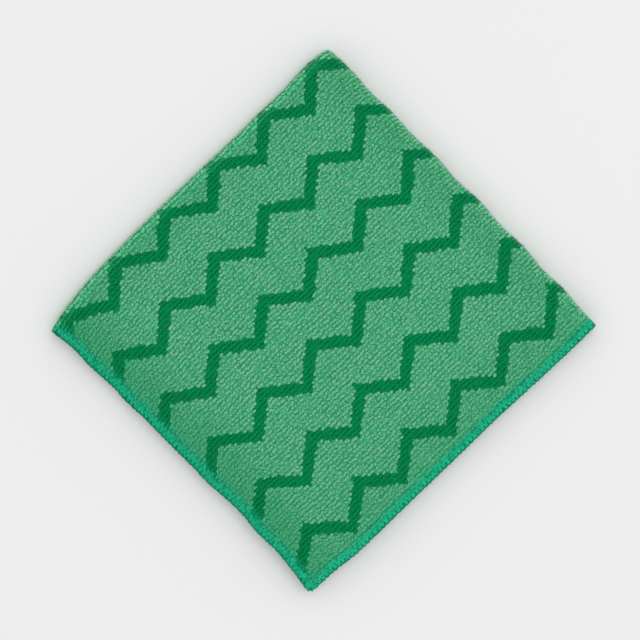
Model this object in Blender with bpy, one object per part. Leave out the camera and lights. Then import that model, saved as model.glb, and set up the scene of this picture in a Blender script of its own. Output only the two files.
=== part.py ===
"""Microfibre cleaning cloth, folded in quarters and lying flat. Metres, +Z up.

The real cloth is one square of terry knit with an overlocked hem, so it is one solid here. It is laid out
as the sheet goes round its two folds: from a hem, along one layer, round the crease and back to the other
hem, in both directions. The folded square is then eased into the uneven outline in which it lies.

+X is the side of the first crease, +Y the side of the second, and the hems lie at -X and -Y. The four
layers are counted from the bottom, and the lowest one is flat where it rests, at height 0.
"""

import math
from collections import namedtuple

import bmesh
import bpy

MM = 0.001

# The sheet
THICKNESS = 1.9 * MM
CORNER_EASE = 1.4 * MM  # how far the blunt corners of the hem draw in
CORNER_REACH = 4.5 * MM  # where that starts, from each edge

# The fold
LAYERS = 4
LAYER_PITCH = THICKNESS + 0.5 * MM
FIRST_RADIUS = LAYER_PITCH / 2  # of the middle of the sheet, round the first crease
SECOND_RADIUS = LAYER_PITCH  # of the middle of the first pair of layers, round the second crease
STACK_HALF = SECOND_RADIUS + FIRST_RADIUS + THICKNESS / 2
SQUARE_HALF = 101.5 * MM  # half the side of the folded square, before its outline is eased
FIRST_AXIS = SQUARE_HALF - FIRST_RADIUS - THICKNESS / 2  # x of the first crease's axis
SECOND_AXIS = SQUARE_HALF - STACK_HALF  # y of the second crease's axis

# Mesh steps
STEPS_ROUND_A_CREASE = 8
STEPS_ACROSS_A_LAYER = 16

Place = namedtuple("Place", "run angle")
HemStep = namedtuple("HemStep", "inset thickness_share")
Easing = namedtuple("Easing", "share reach")
Slip = namedtuple("Slip", "lower_end crease upper_end")
Loft = namedtuple("Loft", "share fade")
Swell = namedtuple("Swell", "share wave_x wave_y shift")

# The overlock squeezes the pile: a thin rim, a rounded band, and a groove where its needle thread bites
HEM_STEPS = (
    HemStep(0.0 * MM, 0.50),
    HemStep(0.6 * MM, 0.88),
    HemStep(1.9 * MM, 0.98),
    HemStep(3.9 * MM, 0.95),
    HemStep(5.0 * MM, 0.82),
    HemStep(7.6 * MM, 1.00),
)

# Outline: how far each side reaches from the middle, at shares of the way along it. The sides that lie
# along X run from -X to +X, and those along Y from -Y to +Y.
SECOND_CREASE_SIDE = (
    Easing(0.00, 95.9 * MM),
    Easing(0.06, 98.7 * MM),
    Easing(0.16, 100.8 * MM),
    Easing(0.28, 101.4 * MM),
    Easing(0.40, 101.3 * MM),
    Easing(0.50, 100.8 * MM),
    Easing(0.66, 99.7 * MM),
    Easing(0.76, 99.6 * MM),
    Easing(0.84, 99.1 * MM),
    Easing(0.94, 99.7 * MM),
    Easing(1.00, 97.9 * MM),
)
LOWER_HEM_SIDE = (
    Easing(0.00, 95.4 * MM),
    Easing(0.09, 96.3 * MM),
    Easing(0.16, 98.0 * MM),
    Easing(0.33, 98.6 * MM),
    Easing(0.50, 99.4 * MM),
    Easing(0.66, 99.9 * MM),
    Easing(0.75, 100.7 * MM),
    Easing(0.86, 101.6 * MM),
    Easing(0.93, 102.0 * MM),
    Easing(1.00, 102.1 * MM),
)
FIRST_CREASE_SIDE = (
    Easing(0.00, 99.2 * MM),
    Easing(0.07, 99.6 * MM),
    Easing(0.13, 100.6 * MM),
    Easing(0.20, 100.1 * MM),
    Easing(0.28, 101.5 * MM),
    Easing(0.36, 100.8 * MM),
    Easing(0.44, 102.1 * MM),
    Easing(0.52, 101.3 * MM),
    Easing(0.60, 102.3 * MM),
    Easing(0.69, 101.7 * MM),
    Easing(0.77, 102.5 * MM),
    Easing(0.83, 101.9 * MM),
    Easing(0.93, 102.9 * MM),
    Easing(1.00, 101.9 * MM),
)
LEFT_HEM_SIDE = (
    Easing(0.00, 104.3 * MM),
    Easing(0.05, 103.0 * MM),
    Easing(0.10, 101.8 * MM),
    Easing(0.15, 101.0 * MM),
    Easing(0.22, 101.3 * MM),
    Easing(0.28, 100.1 * MM),
    Easing(0.35, 100.4 * MM),
    Easing(0.40, 101.2 * MM),
    Easing(0.47, 100.9 * MM),
    Easing(0.60, 100.9 * MM),
    Easing(0.66, 100.8 * MM),
    Easing(0.72, 101.3 * MM),
    Easing(0.77, 100.8 * MM),
    Easing(0.86, 101.6 * MM),
    Easing(0.92, 101.2 * MM),
    Easing(0.96, 101.8 * MM),
    Easing(1.00, 103.4 * MM),
)

# The layers don't lie quite hem on hem: how much further each pair of them reaches than the outline, at
# the end of its hem on the lower layer, at the crease between the two, and at the end on the upper one
LEFT_HEM_OUTER = Slip(0.4 * MM, -0.2 * MM, 0.0 * MM)  # layers 1 and 4
LEFT_HEM_INNER = Slip(-0.6 * MM, 0.3 * MM, 0.2 * MM)  # layers 2 and 3
LOWER_HEM_BOTTOM = Slip(0.4 * MM, -0.3 * MM, -0.6 * MM)  # layers 1 and 2
LOWER_HEM_TOP = Slip(0.0 * MM, 0.1 * MM, 0.3 * MM)  # layers 4 and 3

# Height: the stack is looser beside its creases, its top swells and dips, and the layers part a little
# at the open corner and along the rippled hems
SECOND_CREASE_LOFT = Loft(0.28, 17 * MM)
FIRST_CREASE_LOFT = Loft(0.16, 14 * MM)
SWELLS = (
    Swell(0.022, 148 * MM, 236 * MM, 0.15),
    Swell(0.016, -94 * MM, 131 * MM, 0.60),
    Swell(0.009, 57 * MM, -71 * MM, 0.35),
)
OPEN_CORNER_LIFT = 1.4 * MM
HEM_RIPPLE = Loft(0.9 * MM, 13 * MM)
RIPPLE_WAVES = (87 * MM, 66 * MM)

COLOUR = (0.082, 0.374, 0.187, 1.0)
ROUGHNESS = 0.95


def mix(low, high, share):
    return low + (high - low) * share


def smooth(share):
    share = min(max(share, 0.0), 1.0)
    return share * share * (3 - 2 * share)


def read_off(table, at):
    """The second column of a table at a value of its first, on a smooth curve through the rows."""
    last = len(table) - 1
    row = next((i for i in range(last) if at <= table[i + 1][0]), last - 1)
    (start, low), (end, high) = table[row], table[row + 1]
    before, after = table[max(row - 1, 0)], table[min(row + 2, last)]
    span = end - start
    rise_low = (high - before[1]) / (end - before[0]) * span
    rise_high = (after[1] - low) / (after[0] - start) * span
    t = min(max((at - start) / span, 0.0), 1.0)
    return (
        low * (2 * t**3 - 3 * t**2 + 1)
        + rise_low * (t**3 - 2 * t**2 + t)
        + high * (3 * t**2 - 2 * t**3)
        + rise_high * (t**3 - t**2)
    )


def round_trip(axis):
    """Places from hem to hem: along the lower layer, round the crease's axis, and back along the upper."""
    hem = [step.inset - SQUARE_HALF for step in HEM_STEPS]
    layer = [mix(hem[-1], axis, i / STEPS_ACROSS_A_LAYER) for i in range(1, STEPS_ACROSS_A_LAYER)]
    lower = [Place(run, -math.pi / 2) for run in hem + layer]
    turn = [math.pi * (i / STEPS_ROUND_A_CREASE - 0.5) for i in range(STEPS_ROUND_A_CREASE + 1)]
    upper = [Place(place.run, math.pi / 2) for place in reversed(lower)]
    return lower + [Place(axis, angle) for angle in turn] + upper


def thickness_at(inset):
    """The sheet's thickness this far from the nearest hem: the overlock squeezes it."""
    row = next((i for i in range(1, len(HEM_STEPS)) if inset <= HEM_STEPS[i].inset), None)
    if row is None:
        return THICKNESS
    low, high = HEM_STEPS[row - 1], HEM_STEPS[row]
    share = (inset - low.inset) / (high.inset - low.inset)
    return THICKNESS * mix(low.thickness_share, high.thickness_share, share)


def slip_at(slip, angle, share):
    """How far a hem has slipped, from the crease (share 0) to its end (1) on the layer that angle gives."""
    return mix(slip.crease, slip.lower_end if angle < 0 else slip.upper_end, share)


def ease(x, y):
    """The folded square eased into the outline in which the cloth lies."""
    share_x = (x + SQUARE_HALF) / (2 * SQUARE_HALF)
    share_y = (y + SQUARE_HALF) / (2 * SQUARE_HALF)
    left = SQUARE_HALF - read_off(LEFT_HEM_SIDE, share_y)
    right = read_off(FIRST_CREASE_SIDE, share_y) - SQUARE_HALF
    lower = SQUARE_HALF - read_off(LOWER_HEM_SIDE, share_x)
    upper = read_off(SECOND_CREASE_SIDE, share_x) - SQUARE_HALF
    return x + mix(left, right, share_x), y + mix(lower, upper, share_y)


def loft(x, y):
    """How loosely the layers stack here: their height as a share of the even stack's."""
    share = 1.0
    for swell in SWELLS:
        share += swell.share * math.sin(2 * math.pi * (x / swell.wave_x + y / swell.wave_y + swell.shift))
    share += SECOND_CREASE_LOFT.share * math.exp(-max(SQUARE_HALF - y, 0.0) / SECOND_CREASE_LOFT.fade)
    share += FIRST_CREASE_LOFT.share * math.exp(-max(SQUARE_HALF - x, 0.0) / FIRST_CREASE_LOFT.fade)
    return share


def parting(x, y):
    """How far the top layer stands off the lowest here, beyond their even pitch."""
    share_x = (FIRST_AXIS - x) / (2 * SQUARE_HALF)
    share_y = (SECOND_AXIS - y) / (2 * SQUARE_HALF)
    lift = OPEN_CORNER_LIFT * smooth(share_x) * smooth(share_y)
    for wave, along, across in ((RIPPLE_WAVES[0], y, x), (RIPPLE_WAVES[1], x, y)):
        near_hem = math.exp(-max(SQUARE_HALF + across, 0.0) / HEM_RIPPLE.fade)
        off_crease = smooth((SECOND_AXIS - along) / SQUARE_HALF)
        lift += HEM_RIPPLE.share * near_hem * off_crease * (1 + math.sin(2 * math.pi * along / wave)) / 2
    return lift


def folded(across, along, face):
    """The point at these places round the two folds, on the cloth's outer face (1) or inner face (-1)."""
    inset_x, inset_y = across.run + SQUARE_HALF, along.run + SQUARE_HALF
    blunt = CORNER_EASE * smooth(1 - inset_x / CORNER_REACH) * smooth(1 - inset_y / CORNER_REACH)
    share_x = (FIRST_AXIS - across.run) / (FIRST_AXIS + SQUARE_HALF)
    share_y = (SECOND_AXIS - along.run) / (SECOND_AXIS + SQUARE_HALF)
    left_slip = LEFT_HEM_OUTER if across.angle < 0 else LEFT_HEM_INNER
    lower_slip = LOWER_HEM_BOTTOM if along.angle < 0 else LOWER_HEM_TOP
    x = across.run + blunt - slip_at(left_slip, along.angle, share_y) * share_x
    y = along.run + blunt - slip_at(lower_slip, across.angle, share_x) * share_y

    first_radius = FIRST_RADIUS + face * thickness_at(min(inset_x, inset_y)) / 2
    second_radius = SECOND_RADIUS - first_radius * math.sin(across.angle)
    x += first_radius * math.cos(across.angle)
    y += second_radius * math.cos(along.angle)
    z = STACK_HALF + second_radius * math.sin(along.angle)

    middle_radius = SECOND_RADIUS - FIRST_RADIUS * math.sin(across.angle)
    middle = STACK_HALF + middle_radius * math.sin(along.angle)
    height_share = (middle - THICKNESS / 2) / ((LAYERS - 1) * LAYER_PITCH)
    z = z * loft(x, y) + parting(x, y) * height_share
    return (*ease(x, y), z)


def clear_scene():
    for obj in list(bpy.data.objects):
        bpy.data.objects.remove(obj, do_unlink=True)


def terry_material():
    material = bpy.data.materials.new("terry_green")
    material.use_nodes = True
    shader = material.node_tree.nodes["Principled BSDF"]
    shader.inputs["Base Color"].default_value = COLOUR
    shader.inputs["Roughness"].default_value = ROUGHNESS
    shader.inputs["Metallic"].default_value = 0.0
    return material


def sheet_face(shape, columns, rows, face):
    """One face of the sheet as a grid of quads. Returns its vertices by column and row."""
    grid = [[shape.verts.new(folded(across, along, face)) for along in rows] for across in columns]
    for i in range(len(columns) - 1):
        for j in range(len(rows) - 1):
            shape.faces.new([grid[i][j], grid[i + 1][j], grid[i + 1][j + 1], grid[i][j + 1]])
    return grid


def rim_of(grid):
    """The vertices round the edge of a grid, in order."""
    return (
        [column[0] for column in grid[:-1]]
        + grid[-1][:-1]
        + [column[-1] for column in reversed(grid[1:])]
        + list(reversed(grid[0][1:]))
    )


def make_cloth():
    columns = round_trip(FIRST_AXIS)
    rows = round_trip(SECOND_AXIS)
    shape = bmesh.new()
    outer = rim_of(sheet_face(shape, columns, rows, 1))
    inner = rim_of(sheet_face(shape, columns, rows, -1))
    for i, vertex in enumerate(outer):
        shape.faces.new([inner[i - 1], inner[i], vertex, outer[i - 1]])
    bmesh.ops.recalc_face_normals(shape, faces=shape.faces)
    mesh = bpy.data.meshes.new("cloth")
    shape.to_mesh(mesh)
    shape.free()
    mesh.shade_smooth()
    mesh.materials.append(terry_material())
    cloth = bpy.data.objects.new("cloth", mesh)
    bpy.context.scene.collection.objects.link(cloth)
    return cloth


clear_scene()
make_cloth()
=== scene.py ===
"""Looks of the folded microfibre cloth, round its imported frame. Metres, +Z up.

The cloth, its terry loops and its overlock are each made flat, in the cut cloth's own coordinates, and then
folded together by one function, `fold`. Flat places are (u, v) from the cloth's middle: u runs across the
first crease, v across the second. The layer on top is u < 0, v > 0, and the one below all is u < 0, v < 0.
"""

import math
from collections import namedtuple

import bmesh
import bpy
import numpy as np
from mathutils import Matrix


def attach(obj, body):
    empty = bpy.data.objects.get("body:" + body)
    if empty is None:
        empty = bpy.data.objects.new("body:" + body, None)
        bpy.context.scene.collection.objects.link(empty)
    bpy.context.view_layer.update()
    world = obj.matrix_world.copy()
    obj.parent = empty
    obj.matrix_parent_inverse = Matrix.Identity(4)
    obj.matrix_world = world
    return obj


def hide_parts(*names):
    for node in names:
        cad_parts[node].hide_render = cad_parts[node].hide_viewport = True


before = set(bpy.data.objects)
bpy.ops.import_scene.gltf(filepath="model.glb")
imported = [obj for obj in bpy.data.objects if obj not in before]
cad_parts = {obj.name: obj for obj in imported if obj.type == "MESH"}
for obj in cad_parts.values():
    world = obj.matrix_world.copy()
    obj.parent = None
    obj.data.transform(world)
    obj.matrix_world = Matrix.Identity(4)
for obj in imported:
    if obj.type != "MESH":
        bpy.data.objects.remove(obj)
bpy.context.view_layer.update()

MM = 0.001

# The sheet and its fold, as in the solid
CUT_HALF = 203 * MM
THICKNESS = 1.9 * MM
CORNER_EASE = 1.4 * MM
CORNER_REACH = 4.5 * MM
LAYERS = 4
LAYER_PITCH = THICKNESS + 0.5 * MM
FIRST_RADIUS = LAYER_PITCH / 2
SECOND_RADIUS = LAYER_PITCH
STACK_HALF = SECOND_RADIUS + FIRST_RADIUS + THICKNESS / 2
SQUARE_HALF = 101.5 * MM
FIRST_AXIS = SQUARE_HALF - FIRST_RADIUS - THICKNESS / 2
SECOND_AXIS = SQUARE_HALF - STACK_HALF

HemStep = namedtuple("HemStep", "inset thickness_share")
Easing = namedtuple("Easing", "share reach")
Slip = namedtuple("Slip", "lower_end crease upper_end")
Loft = namedtuple("Loft", "share fade")
Swell = namedtuple("Swell", "share wave_x wave_y shift")
Zone = namedtuple("Zone", "start whole")  # the distances at which an effect starts and is whole

HEM_STEPS = (
    HemStep(0.0 * MM, 0.50),
    HemStep(0.6 * MM, 0.88),
    HemStep(1.9 * MM, 0.98),
    HemStep(3.9 * MM, 0.95),
    HemStep(5.0 * MM, 0.82),
    HemStep(7.6 * MM, 1.00),
)
SECOND_CREASE_SIDE = (
    Easing(0.00, 95.9 * MM),
    Easing(0.06, 98.7 * MM),
    Easing(0.16, 100.8 * MM),
    Easing(0.28, 101.4 * MM),
    Easing(0.40, 101.3 * MM),
    Easing(0.50, 100.8 * MM),
    Easing(0.66, 99.7 * MM),
    Easing(0.76, 99.6 * MM),
    Easing(0.84, 99.1 * MM),
    Easing(0.94, 99.7 * MM),
    Easing(1.00, 97.9 * MM),
)
LOWER_HEM_SIDE = (
    Easing(0.00, 95.4 * MM),
    Easing(0.09, 96.3 * MM),
    Easing(0.16, 98.0 * MM),
    Easing(0.33, 98.6 * MM),
    Easing(0.50, 99.4 * MM),
    Easing(0.66, 99.9 * MM),
    Easing(0.75, 100.7 * MM),
    Easing(0.86, 101.6 * MM),
    Easing(0.93, 102.0 * MM),
    Easing(1.00, 102.1 * MM),
)
FIRST_CREASE_SIDE = (
    Easing(0.00, 99.2 * MM),
    Easing(0.07, 99.6 * MM),
    Easing(0.13, 100.6 * MM),
    Easing(0.20, 100.1 * MM),
    Easing(0.28, 101.5 * MM),
    Easing(0.36, 100.8 * MM),
    Easing(0.44, 102.1 * MM),
    Easing(0.52, 101.3 * MM),
    Easing(0.60, 102.3 * MM),
    Easing(0.69, 101.7 * MM),
    Easing(0.77, 102.5 * MM),
    Easing(0.83, 101.9 * MM),
    Easing(0.93, 102.9 * MM),
    Easing(1.00, 101.9 * MM),
)
LEFT_HEM_SIDE = (
    Easing(0.00, 104.3 * MM),
    Easing(0.05, 103.0 * MM),
    Easing(0.10, 101.8 * MM),
    Easing(0.15, 101.0 * MM),
    Easing(0.22, 101.3 * MM),
    Easing(0.28, 100.1 * MM),
    Easing(0.35, 100.4 * MM),
    Easing(0.40, 101.2 * MM),
    Easing(0.47, 100.9 * MM),
    Easing(0.60, 100.9 * MM),
    Easing(0.66, 100.8 * MM),
    Easing(0.72, 101.3 * MM),
    Easing(0.77, 100.8 * MM),
    Easing(0.86, 101.6 * MM),
    Easing(0.92, 101.2 * MM),
    Easing(0.96, 101.8 * MM),
    Easing(1.00, 103.4 * MM),
)
LEFT_HEM_OUTER = Slip(0.4 * MM, -0.2 * MM, 0.0 * MM)
LEFT_HEM_INNER = Slip(-0.6 * MM, 0.3 * MM, 0.2 * MM)
LOWER_HEM_BOTTOM = Slip(0.4 * MM, -0.3 * MM, -0.6 * MM)
LOWER_HEM_TOP = Slip(0.0 * MM, 0.1 * MM, 0.3 * MM)
SECOND_CREASE_LOFT = Loft(0.28, 17 * MM)
FIRST_CREASE_LOFT = Loft(0.16, 14 * MM)
SWELLS = (
    Swell(0.022, 148 * MM, 236 * MM, 0.15),
    Swell(0.016, -94 * MM, 131 * MM, 0.60),
    Swell(0.009, 57 * MM, -71 * MM, 0.35),
)
OPEN_CORNER_LIFT = 1.4 * MM
HEM_RIPPLE = Loft(0.9 * MM, 13 * MM)
RIPPLE_WAVES = (87 * MM, 66 * MM)

# What the knit is made of
BAND = 5.0 * MM  # width of the overlock
PILE_DEPTH = 0.50 * MM  # of the loops, inside the sheet's thickness
THREAD_DEPTH = 0.34 * MM  # of the overlock thread on each face
KNIT_INSET = 0.45 * MM  # from the rim of the thread to the knit inside it
SHEET_STEP = 3.4 * MM
STEPS_ROUND_A_CREASE = 12

RIB_PITCH = 2.29 * MM
LOOP_PITCH = 1.80 * MM
LOOP_LENGTH = 2.60 * MM
LOOP_WIDTH = 1.90 * MM
LOOP_HEIGHT = 0.52 * MM
LoopRing = namedtuple("LoopRing", "along middle size")
LOOP_RINGS = (
    LoopRing(-0.60, 0.28, 0.80),
    LoopRing(0.03, 0.50, 1.00),
    LoopRing(0.62, 0.26, 0.76),
)
LOOP_SECTION = ((-0.5, -0.06), (0.0, 0.5), (0.5, -0.06), (0.0, -0.6))  # across and up, of each ring
Spread = namedtuple("Spread", "along across up tone turn size")
LOOP_SPREAD = Spread(0.55 * MM, 0.40 * MM, 0.05 * MM, 0.17, (0.30, 0.10, 0.40), (0.26, 0.18, 0.20))
RIB_WANDER = 2.2 * MM
LOOP_TONE = 0.47
BESIDE_TONE = 0.12  # how much lighter the ground's loops are beside a stripe
SUNK_SHARE = 0.10  # of the loops that lie low
SUNK_DEPTH = 0.62  # of a loop's height

FIBRE_LENGTH = 1.1 * MM
FIBRE_WIDTH = 0.10 * MM
FibreRing = namedtuple("FibreRing", "up lean size")
FIBRE_RINGS = (FibreRing(0.0, 0.0, 1.0), FibreRing(0.55, 0.12, 0.8))
FIBRE_TIP = FibreRing(1.0, 0.42, 0.0)

# The zigzag stripes
ZIGZAG_PERIOD = 35.8 * MM  # along u
ZIGZAG_HEIGHT = 13.8 * MM  # of its middle line, peak to trough
ZIGZAG_SPACING = 34.2 * MM  # from stripe to stripe along v
ZIGZAG_PEAK_U = -191.0 * MM
ZIGZAG_ROW_V = 12.5 * MM  # middle of the stripe nearest the second crease
ZIGZAG_SKEW = 0.0509  # how far the peaks drift along u for each step in v
ZIGZAG_CORNER = 3.0 * MM  # how much of each leg bends out at its corners
ZIGZAG_SNAP = 0.5 * MM  # how far the corners reach out past the straight legs
ROW_SAG = 0.65 * MM  # how far the knit's rows sag midway from the first crease to a hem
ROW_RISE = (1.7 * MM, 3.2 * MM)  # how far they rise at the first crease, by the second one and by a hem
STRIPE_WIDTH = 6.3 * MM
STRIPE_HALF = STRIPE_WIDTH / 2 / math.cos(math.atan(2 * ZIGZAG_HEIGHT / ZIGZAG_PERIOD))  # along v
STRIPE_EDGE = Zone(STRIPE_HALF + 0.4 * MM, STRIPE_HALF - 0.4 * MM)
BESIDE_STRIPE = Zone(STRIPE_HALF + 2.4 * MM, STRIPE_HALF + 0.6 * MM)
HEM_DRAW = 2.2 * MM  # how far the zigzag is drawn out where the left hem meets the second crease
DRAWN_FROM_HEM = Zone(22 * MM, 8 * MM)
DRAWN_FROM_CREASE = Zone(42 * MM, 14 * MM)

# The overlock
STITCH = 2.75 * MM
THREAD_SIDES = 5

# Photograph
PIXELS = 640
PIXELS_PER_MM = 1.92
CLOTH_MIDDLE_PX = (322, 321)
CAMERA_ROLL = math.radians(-45)
CAMERA_HEIGHT = 1.8

BODY = "root"


# -------- folding


def mix(low, high, share):
    return low + (high - low) * share


def smooth(share):
    share = np.clip(share, 0.0, 1.0)
    return share * share * (3 - 2 * share)


def ramp(value, start, whole):
    """0 before the start, 1 where it is whole, and smooth between them."""
    return smooth((value - start) / (whole - start))


def read_off(table, at):
    """The second column of a table at values of its first, on a smooth curve through the rows."""
    keys, values = np.array(table).T
    last = len(keys) - 1
    row = np.clip(np.searchsorted(keys, at, side="left") - 1, 0, last - 1)
    before, after = np.maximum(row - 1, 0), np.minimum(row + 2, last)
    start, end, low, high = keys[row], keys[row + 1], values[row], values[row + 1]
    span = end - start
    rise_low = (high - values[before]) / (end - keys[before]) * span
    rise_high = (values[after] - low) / (keys[after] - start) * span
    t = np.clip((at - start) / span, 0.0, 1.0)
    return (
        low * (2 * t**3 - 3 * t**2 + 1)
        + rise_low * (t**3 - 2 * t**2 + t)
        + high * (3 * t**2 - 2 * t**3)
        + rise_high * (t**3 - t**2)
    )


def place_at(flat, radius, axis):
    """Where a flat distance from a crease lies: along the straight run, and round the crease."""
    arc = radius * math.pi / 2
    ease_share = (axis + SQUARE_HALF) / (CUT_HALF - arc)
    run = axis - np.maximum(np.abs(flat) - arc, 0.0) * ease_share
    return run, np.clip(flat / radius, -math.pi / 2, math.pi / 2)


def slip_at(slip, angle, share):
    return mix(slip.crease, np.where(angle < 0, slip.lower_end, slip.upper_end), share)


def ease(x, y):
    share_x = (x + SQUARE_HALF) / (2 * SQUARE_HALF)
    share_y = (y + SQUARE_HALF) / (2 * SQUARE_HALF)
    left = SQUARE_HALF - read_off(LEFT_HEM_SIDE, share_y)
    right = read_off(FIRST_CREASE_SIDE, share_y) - SQUARE_HALF
    lower = SQUARE_HALF - read_off(LOWER_HEM_SIDE, share_x)
    upper = read_off(SECOND_CREASE_SIDE, share_x) - SQUARE_HALF
    return x + mix(left, right, share_x), y + mix(lower, upper, share_y)


def loft(x, y):
    share = 1.0
    for swell in SWELLS:
        share = share + swell.share * np.sin(
            2 * math.pi * (x / swell.wave_x + y / swell.wave_y + swell.shift)
        )
    second = np.exp(-np.maximum(SQUARE_HALF - y, 0.0) / SECOND_CREASE_LOFT.fade)
    first = np.exp(-np.maximum(SQUARE_HALF - x, 0.0) / FIRST_CREASE_LOFT.fade)
    return share + SECOND_CREASE_LOFT.share * second + FIRST_CREASE_LOFT.share * first


def parting(x, y):
    share_x = (FIRST_AXIS - x) / (2 * SQUARE_HALF)
    share_y = (SECOND_AXIS - y) / (2 * SQUARE_HALF)
    lift = OPEN_CORNER_LIFT * smooth(share_x) * smooth(share_y)
    for wave, along, across in ((RIPPLE_WAVES[0], y, x), (RIPPLE_WAVES[1], x, y)):
        near_hem = np.exp(-np.maximum(SQUARE_HALF + across, 0.0) / HEM_RIPPLE.fade)
        off_crease = smooth((SECOND_AXIS - along) / SQUARE_HALF)
        ripple = (1 + np.sin(2 * math.pi * along / wave)) / 2
        lift = lift + HEM_RIPPLE.share * near_hem * off_crease * ripple
    return lift


def fold(u, v, offset):
    """The folded places of flat ones that lie `offset` out of the sheet's middle, on its outer side."""
    run_x, angle_x = place_at(u, FIRST_RADIUS, FIRST_AXIS)
    middle_radius = SECOND_RADIUS - FIRST_RADIUS * np.sin(angle_x)
    run_y, angle_y = place_at(v, middle_radius, SECOND_AXIS)
    near_x = smooth(1 - (run_x + SQUARE_HALF) / CORNER_REACH)
    near_y = smooth(1 - (run_y + SQUARE_HALF) / CORNER_REACH)
    blunt = CORNER_EASE * near_x * near_y
    share_x = (FIRST_AXIS - run_x) / (FIRST_AXIS + SQUARE_HALF)
    share_y = (SECOND_AXIS - run_y) / (SECOND_AXIS + SQUARE_HALF)
    slip_x = np.where(
        angle_x < 0, slip_at(LEFT_HEM_OUTER, angle_y, share_y), slip_at(LEFT_HEM_INNER, angle_y, share_y)
    )
    slip_y = np.where(
        angle_y < 0, slip_at(LOWER_HEM_BOTTOM, angle_x, share_x), slip_at(LOWER_HEM_TOP, angle_x, share_x)
    )
    first_radius = FIRST_RADIUS + offset
    second_radius = SECOND_RADIUS - first_radius * np.sin(angle_x)
    x = run_x + blunt - slip_x * share_x + first_radius * np.cos(angle_x)
    y = run_y + blunt - slip_y * share_y + second_radius * np.cos(angle_y)
    z = STACK_HALF + second_radius * np.sin(angle_y)
    middle = STACK_HALF + middle_radius * np.sin(angle_y)
    height_share = (middle - THICKNESS / 2) / ((LAYERS - 1) * LAYER_PITCH)
    z = z * loft(x, y) + parting(x, y) * height_share
    return np.stack([*ease(x, y), np.maximum(z, 0.0)], axis=-1)


def half_thickness(u, v, face):
    """From the sheet's middle to the ground of the knit on one face, under its loops or its thread."""
    inset = CUT_HALF - np.maximum(np.abs(u), np.abs(v))
    shares = np.interp(inset, *np.array(HEM_STEPS).T)
    pile = PILE_DEPTH if face > 0 else 0.0
    cover = mix(THREAD_DEPTH, pile, ramp(inset, BAND - 0.8 * MM, BAND + 1.4 * MM))
    return THICKNESS / 2 * shares - cover


# -------- nodes


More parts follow.
